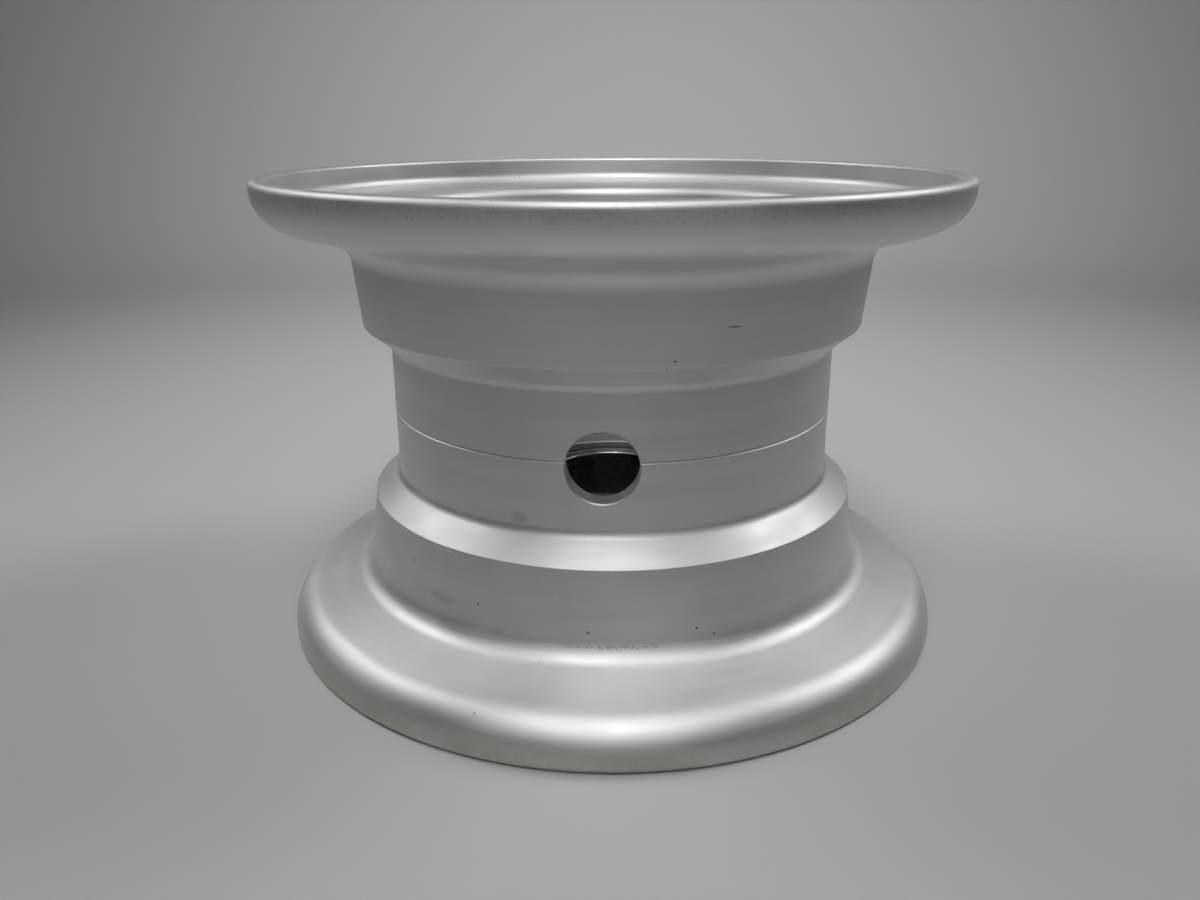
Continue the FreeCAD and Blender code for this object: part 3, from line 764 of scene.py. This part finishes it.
# %% Bearing cones and seals
CUP_LIP, CUP_ANGLE = 1.97, math.radians(15.0)
APEX_Z = CUP_BACK + CUP_WIDTH - (CUP_RADIUS - CUP_LIP) / math.tan(CUP_ANGLE)
ROLLER_TILT, ROLLER_FLARE = math.radians(13.25), math.tan(math.radians(1.75))
ROLLER_LENGTH, ROLLER_COUNT = 8.7, 19
ROLLER_HEAD = (CONE_BACK - 4.1 - APEX_Z) / math.cos(ROLLER_TILT)
ROLLER_FOOT = ROLLER_HEAD - ROLLER_LENGTH


def on_roller(along, off=0.0):
    """The (radius, z) at a distance along a roller's axis from the bearing's apex."""
    return (along * math.sin(ROLLER_TILT) + off * math.cos(ROLLER_TILT),
            APEX_Z + along * math.cos(ROLLER_TILT) - off * math.sin(ROLLER_TILT))


def cone_corners():
    """The cone's outline: bore, back face, thrust rib, raceway and small rib."""
    head, foot, front = ROLLER_HEAD + 0.05, ROLLER_FOOT - 0.15, CONE_BACK - CONE_WIDTH
    rib_top, rib_root = on_roller(head, 1.9 - ROLLER_HEAD * ROLLER_FLARE), on_roller(
        head, -head * ROLLER_FLARE)
    small = on_roller(foot, -foot * ROLLER_FLARE)
    return [(AXLE_RADIUS, front, 0.6), (AXLE_RADIUS, CONE_BACK, 0.6),
            (rib_top[0], CONE_BACK, 0.5), (*rib_top, 0.2), (*rib_root, 0), (*small, 0),
            (small[0] + 0.7, small[1], 0.2), (small[0] + 0.7, front, 0.2)]


def flat_ring(bore, edge, low, thick, round_off):
    """Corners of a flat ring with rounded edges."""
    return [(bore, low, round_off), (edge, low, round_off),
            (edge, low + thick, round_off), (bore, low + thick, round_off)]


def seated(side, piece_name, corners, material, body, replaced):
    """Turns a piece, puts it on its side and lets it stand for its CAD node."""
    piece = lathed(f"{side}_{piece_name}", corners, material, RING_SEGMENTS)
    smooth(onto_side(piece, side))
    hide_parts(f"{side}_{replaced}")
    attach(piece, body)
    return piece


for side in SIDES:
    seated(side, "cone_race", cone_corners(), GROUND, f"{side}_cone",
           "bearing_cone")
    for place_name, low in (("inner", SEAL_Z), ("outer", COVER_Z)):
        seated(side, f"{place_name}_grease_ring",
               flat_ring(AXLE_RADIUS + 1.6, SEAL_RADIUS, low, SEAL_THICK, 0.2), SEAL_STEEL, "root",
               f"{place_name}_seal_ring")
    seated(side, "felt_ring", flat_ring(AXLE_RADIUS + 0.2, SEAL_RADIUS, FELT_Z, FELT_THICK, 0.4),
           FELT, "root", "felt_seal")
print("cones, seal rings and felts turned")

# %% [markdown]
# ## Repeats
# Rollers, bolts, nuts and washers are each drawn once, on the +X side, and set round the wheel by
# a second tree. Its inputs are the count and the first angle. It ends in Realize Instances, because
# a part that leaves Blender can't hold instances.

# %% Round-the-wheel tree


def round_tree():
    """Sets copies of the input at even angles about the Z axis."""
    tree, given, result = new_tree("round_the_wheel", {
        "Count": "NodeSocketInt", "First Angle": "NodeSocketFloat",
        "Material": "NodeSocketMaterial"})
    points = node(tree, "GeometryNodePoints")
    wire(tree, given.outputs["Count"], points.inputs["Count"])
    share = calc(tree, "DIVIDE", node(tree, "GeometryNodeInputIndex").outputs[0],
                 given.outputs["Count"])
    angle = calc(tree, "ADD", calc(tree, "MULTIPLY", share, math.tau),
                 given.outputs["First Angle"])
    turn = node(tree, "ShaderNodeCombineXYZ")
    wire(tree, angle, turn.inputs["Z"])
    place = node(tree, "GeometryNodeInstanceOnPoints")
    wire(tree, points.outputs[0], place.inputs["Points"])
    wire(tree, given.outputs["Geometry"], place.inputs["Instance"])
    wire(tree, turn.outputs[0], place.inputs["Rotation"])
    real = node(tree, "GeometryNodeRealizeInstances")
    wire(tree, place.outputs[0], real.inputs[0])
    paint = node(tree, "GeometryNodeSetMaterial")
    wire(tree, real.outputs[0], paint.inputs["Geometry"])
    wire(tree, given.outputs["Material"], paint.inputs["Material"])
    wire(tree, paint.outputs[0], result.inputs[0])
    return tree


ROUND = round_tree()


def set_round(piece, count, first, material, replaced, body):
    """Sets a piece round the wheel and lets the set stand for its CAD node."""
    spread = piece.modifiers.new("round", "NODES")
    spread.node_group = ROUND
    tree_input(spread, "Count", count)
    tree_input(spread, "First Angle", first)
    tree_input(spread, "Material", material)
    smooth(baked(piece))
    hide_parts(replaced)
    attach(piece, body)
    print(f"{piece.name}: {count} copies, {len(piece.data.polygons)} faces")
    return piece


# %% [markdown]
# A taper roller is a slim cone frustum with its ends broken. It lies tilted, so that all its lines
# meet those of the races at one point on the axis.

# %% Rollers
for side in SIDES:
    foot_radius, head_radius = (along * ROLLER_FLARE - 0.05
                                for along in (ROLLER_FOOT, ROLLER_HEAD))
    rows = [(foot_radius - 0.3, 0), (foot_radius, 0.3), (head_radius - 0.01, ROLLER_LENGTH - 0.3),
            (head_radius - 0.3, ROLLER_LENGTH)]
    roller = lofted(f"{side}_rollers", [circle((0, 0), radius, z, 40) for radius, z in rows])
    roller.data.transform(Matrix.Rotation(ROLLER_TILT, 4, "Y"))
    radius, z = on_roller(ROLLER_FOOT)
    roller.data.transform(Matrix.Translation((radius * MM, 0, z * MM)))
    onto_side(roller, side)
    set_round(roller, ROLLER_COUNT, 0.0, GROUND, f"{side}_bearing_rollers", f"{side}_roller_set")

# %% [markdown]
# A hexagon head is forged square and then turned on top, so a cone cuts its corners in shallow
# curves. Each row of points is either round or follows the hexagon, and a row where the cone meets
# the hexagon dips at the corners.

# %% Hexagon pieces


def hexagon_radius(flats, angle):
    """Distance from the centre to a hexagon's side at an angle, with a corner at zero."""
    return flats / 2 / math.cos(angle % (math.pi / 3) - math.pi / 6)


def hexagon_row(flats, z, chamfer_radius=None, upwards=1):
    """A row along a hexagon's sides, dipped where a 30 degree cone cuts its corners."""
    row = []
    for i in range(FINE):
        angle = math.tau * i / FINE
        radius = hexagon_radius(flats, angle)
        fall = (radius - chamfer_radius) * math.tan(math.radians(30)) if chamfer_radius else 0
        row.append((radius * math.cos(angle), radius * math.sin(angle), z - upwards * fall))
    return row


def thread_rows(low, high):
    """Rows of a helical thread on the bolt, with a tapered tip at the low end."""
    pitch, depth, half_groove, tip_cut, rows = INCH / 28, 0.50, 0.42, 0.85, []
    steps = math.ceil((high - low) / (pitch / 8))
    for k in range(steps + 1):
        z, row = low + (high - low) * k / steps, []
        for i in range(FINE):
            angle, turn = math.tau * i / FINE, (z / pitch + i / FINE) % 1.0
            groove = depth * max(0.0, 1.0 - abs(turn - 0.5) / half_groove)
            radius = min(BOLT_RADIUS - 0.01 - groove, BOLT_RADIUS - tip_cut + (z - low))
            row.append((radius * math.cos(angle), radius * math.sin(angle), z))
        rows.append(row)
    return rows


def ring(radius, z):
    """One finely stepped level row round a bolt's own axis."""
    return circle((0, 0), radius, z, FINE)


def on_bolt_circle(piece, z):
    """Stands a piece on the bolt circle at a height above the joint."""
    piece.data.transform(Matrix.Translation((BOLT_CIRCLE * MM, 0, JOINT_Z + z * MM)))
    return piece


SEAT = PAD_Z + WASHER_THICK
TIP = SEAT + NUT_HEX + NUT_COLLAR + BOLT_TIP
print("hexagon rows ready")

# %% [markdown]
# The bolts go through from the outboard side. Each has a washer under its head and under its nut,
# and the nut's collar, which grips the thread, faces out. Only the last threads show.

# %% Bolts, nuts and washers
head = lofted("bolt_head", [
    ring(5.2, 0), ring(5.2, HEAD_WASHER), hexagon_row(BOLT_FLATS, HEAD_WASHER),
    hexagon_row(BOLT_FLATS, HEAD_HEIGHT, CORNER_RADIUS), ring(CORNER_RADIUS, HEAD_HEIGHT),
    ring(3.7, HEAD_HEIGHT), ring(3.3, HEAD_HEIGHT - 0.3)])
head.data.transform(Matrix.Translation((0, 0, SEAT * MM)))
shank = lofted("bolt_shank", [ring(BOLT_RADIUS, z) for z in (-SEAT - 2, SEAT)])
thread = lofted("bolt_thread", thread_rows(-TIP, -SEAT - 1))
bolts = on_bolt_circle(joined("bolts", [head, shank, thread]), 0)
set_round(bolts, COUNT, FIRST_BOLT, PLATED, "tie_bolts", "root")

nut_end = NUT_HEX + NUT_COLLAR
nut = lofted("lock_nuts", [
    ring(NUT_BORE, 3.0), ring(NUT_BORE, 0.4), ring(BOLT_RADIUS + 0.4, 0), ring(5.25, 0),
    hexagon_row(BOLT_FLATS, 0, 5.25, -1), hexagon_row(BOLT_FLATS, NUT_HEX, 5.25),
    ring(5.2, NUT_HEX), ring(COLLAR_RADIUS, NUT_HEX + 0.15), ring(COLLAR_RADIUS, NUT_HEX + 2.1),
    ring(COLLAR_RADIUS - 0.35, NUT_HEX + 2.75), ring(COLLAR_RADIUS - 0.9, nut_end),
    ring(BOLT_RADIUS + 0.5, nut_end), ring(NUT_BORE, nut_end - 0.5)])
nut.data.transform(Matrix.Rotation(math.pi, 4, "X"))
set_round(on_bolt_circle(nut, -SEAT), COUNT, FIRST_BOLT, PLATED, "tie_bolt_nuts", "root")

for end, low in (("head", PAD_Z), ("nut", -SEAT)):
    corners = flat_ring(BOLT_RADIUS + BOLT_PLAY, WASHER_RADIUS, 0, WASHER_THICK, 0.2)
    washer = lathed(f"{end}_side_washers", corners, PLATED, 64)
    set_round(on_bolt_circle(washer, low), COUNT, FIRST_BOLT, PLATED, f"{end}_washers", "root")

# %% [markdown]
# The cups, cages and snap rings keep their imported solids, whose shape is right, and get a finish.

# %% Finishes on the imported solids
for side in SIDES:
    for kept, material in (("bearing_cup", GROUND), ("bearing_cage", PRESSED),
                           ("snap_ring", SPRING)):
        solid = bpy.data.objects[f"{side}_{kept}"]
        solid.data.materials.clear()
        solid.data.materials.append(material)
print("cups, cages and snap rings finished")

# %% [markdown]
# ## Light, floor and camera
# The floor is a plain pale round sweep: flat round the wheel, and rising far out into a backdrop.
# One even floor keeps the eye on the wheel, and its shadow shows how the wheel stands.

# %% Floor and backdrop
FLOOR_FLAT, SWEEP_RADIUS, BACKDROP_HEIGHT, FLOOR_DROP = 0.75, 0.35, 1.1, 0.00005


def stage_floor():
    """A pale round floor that sweeps up into a backdrop."""
    made, _, shader = finish("pale_floor", 0.0, (0.48, 0.48, 0.475), 0.9)
    shader.inputs["Specular IOR Level"].default_value = 0.1
    rows = [(0.001, 0.0), (FLOOR_FLAT, 0.0)]
    rows += [(FLOOR_FLAT + SWEEP_RADIUS * math.sin(math.radians(a)),
              SWEEP_RADIUS * (1 - math.cos(math.radians(a)))) for a in range(6, 91, 6)]
    rows.append((FLOOR_FLAT + SWEEP_RADIUS, BACKDROP_HEIGHT))
    points, faces, count = [], [], 96
    for radius, z in rows:
        points += circle((0, 0), radius, z - FLOOR_DROP, count)
    for k in range(len(rows) - 1):
        for i in range(count):
            j = (i + 1) % count
            faces.append((k * count + i, k * count + j, (k + 1) * count + j, (k + 1) * count + i))
    faces.append(tuple(range(count)))
    mesh = bpy.data.meshes.new("floor")
    mesh.from_pydata(points, [], faces)
    floor = new_object("floor", mesh)
    floor.data.materials.append(made)
    floor.data.shade_smooth()
    return floor


stage_floor()
print("pale floor and backdrop")

# %% [markdown]
# Metal shows what it mirrors, so the lamps are placed for their reflections. The upright walls
# mirror the floor in front, which has to stay quieter than the wheel. Each soft light therefore
# has a honeycomb, a narrow beam that keeps to the wheel and the floor close round it. Three stand
# in front at different heights and one behind at each side, and a wide one lifts the backdrop.

# %% Soft lights


def softbox(name, place, target, size, watts, beam_deg):
    """A round soft light at a place in metres, aimed at a target, with a honeycomb's beam."""
    data = bpy.data.lights.new(name, "AREA")
    data.shape, data.size, data.spread = "DISK", size, math.radians(beam_deg)
    data.energy = watts
    lamp = bpy.data.objects.new(name, data)
    lamp.location = place
    lamp.rotation_euler = (Vector(target) - Vector(place)).to_track_quat("-Z", "Y").to_euler()
    bpy.context.scene.collection.objects.link(lamp)
    return lamp


def dim_room(strength):
    """A dim even room light from all round."""
    world = bpy.data.worlds.new("studio")
    world.use_nodes = True
    tree = world.node_tree
    tree.nodes.clear()
    light = node(tree, "ShaderNodeBackground")
    light.inputs["Color"].default_value = (1.0, 1.0, 1.0, 1.0)
    light.inputs["Strength"].default_value = strength
    wire(tree, light.outputs[0], node(tree, "ShaderNodeOutputWorld").inputs[0])
    bpy.context.scene.world = world


MIDDLE = (0, 0, 0.06)
softbox("front", (0, -0.469, 0.943), MIDDLE, 0.6, 0.25, 30)
softbox("low_front", (0, -0.809, 0.648), MIDDLE, 0.6, 0.08, 30)
softbox("overhead", (0, -0.242, 1.03), MIDDLE, 0.6, 0.12, 30)
softbox("left", (-0.69, 0.28, 0.73), MIDDLE, 0.8, 0.35, 30)
softbox("right", (0.69, 0.28, 0.73), MIDDLE, 0.8, 0.41, 30)
softbox("backdrop_light", (0, 0.55, 0.9), (0, 0.95, 0.1), 0.7, 2.6, 110)
dim_room(0.05)
bpy.context.scene.view_settings.view_transform = "Standard"
print("six soft lights")

# %% [markdown]
# The camera stands close, a little above the wheel, and looks down on it, so the upper rim shows
# its inside behind the front lip. The close stand gives the strong perspective.

# %% Camera


STAND, AROUND = (0, -0.24738, 0.12438), math.radians(2.0)
LENS, SENSOR_WIDTH = 29.46, 36.0


def aimed_camera():
    """The camera, from its stand and its right, up and backward axes, moved a little around."""
    yaw, pitch, roll = -0.01239, 0.329533, -0.00411
    level = Vector((math.sin(yaw), math.cos(yaw), 0))
    right = Vector((math.cos(yaw), -math.sin(yaw), 0))
    forward = math.cos(pitch) * level - math.sin(pitch) * Vector((0, 0, 1))
    up = math.sin(pitch) * level + math.cos(pitch) * Vector((0, 0, 1))
    right, up = (math.cos(roll) * right + math.sin(roll) * up,
                 math.cos(roll) * up - math.sin(roll) * right)
    stand = Matrix((right, up, -forward)).transposed().to_4x4()
    stand.translation = STAND
    data = bpy.data.cameras.new("camera")
    data.lens, data.sensor_width = LENS, SENSOR_WIDTH
    data.clip_start, data.clip_end = 0.005, 50
    camera = bpy.data.objects.new("camera", data)
    camera.matrix_world = Matrix.Rotation(AROUND, 4, "Z") @ stand
    bpy.context.scene.collection.objects.link(camera)
    bpy.context.scene.camera = camera
    return camera


aimed_camera()
print("camera in place")
